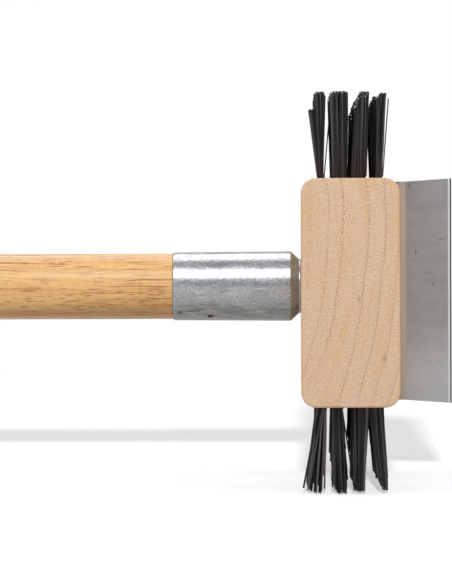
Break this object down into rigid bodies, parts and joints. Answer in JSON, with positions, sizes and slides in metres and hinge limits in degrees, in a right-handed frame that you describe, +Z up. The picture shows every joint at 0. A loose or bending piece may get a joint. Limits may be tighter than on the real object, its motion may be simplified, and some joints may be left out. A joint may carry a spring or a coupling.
{
  "type": "grill cleaning brush",
  "caption": "Long-handled double-sided grill brush: wire tufts on two faces of a wooden block, a bent steel scraper in front and a round handle that screws in.",
  "frame": {"origin": "under the middle of the whole brush, at the height of the lower wire tips", "axes": "+X along the handle towards the scraper, +Y across the head along the block's length, +Z up through the upper wire tips"},
  "size_m": [0.762, 0.203, 0.157],
  "materials": {
    "handle_wood": "clear lacquer over open-pored golden hardwood",
    "tip_metal": "tumbled, slightly grainy, semi-bright",
    "ring_steel": "bright turned",
    "block_maple": "sanded, unfinished light maple",
    "scraper_stainless": "satin, with light scratches",
    "screw_steel": "plated, satin",
    "bristle_steel": "oil-tempered dark flat wire, soft sheen",
    "anchor_steel": "plain drawn wire"
  },
  "bodies": {
    "head": {"head_block": "block_maple", "scraper_blade": "scraper_stainless", "scraper_screws": "screw_steel", "upper_tufts_row_1": "bristle_steel", "upper_tufts_row_2": "bristle_steel", "upper_tufts_row_3": "bristle_steel", "upper_tufts_row_4": "bristle_steel", "lower_tufts_row_1": "bristle_steel", "lower_tufts_row_2": "bristle_steel", "lower_tufts_row_3": "bristle_steel", "lower_tufts_row_4": "bristle_steel", "upper_anchors_row_1": "anchor_steel", "upper_anchors_row_2": "anchor_steel", "upper_anchors_row_3": "anchor_steel", "upper_anchors_row_4": "anchor_steel", "lower_anchors_row_1": "anchor_steel", "lower_anchors_row_2": "anchor_steel", "lower_anchors_row_3": "anchor_steel", "lower_anchors_row_4": "anchor_steel"},
    "ring": {"spacer_ring": "ring_steel"},
    "handle": {"wood_handle": "handle_wood", "threaded_tip": "tip_metal"}
  },
  "joints": [
    {"name": "handle_withdraw", "type": "slide", "parent": "head", "child": "ring", "axis": [-1, 0, 0], "range_m": [0, 0.0255]},
    {"name": "handle_unscrew", "type": "hinge", "parent": "ring", "child": "handle", "pos_m": [0.3192, 0, 0.0795], "axis": [-1, 0, 0], "range_deg": [0, 1800]}
  ],
  "couplings": [
    {"joint": "handle_withdraw", "follows": "handle_unscrew", "m_per_rad": 0.00080851}
  ]
}
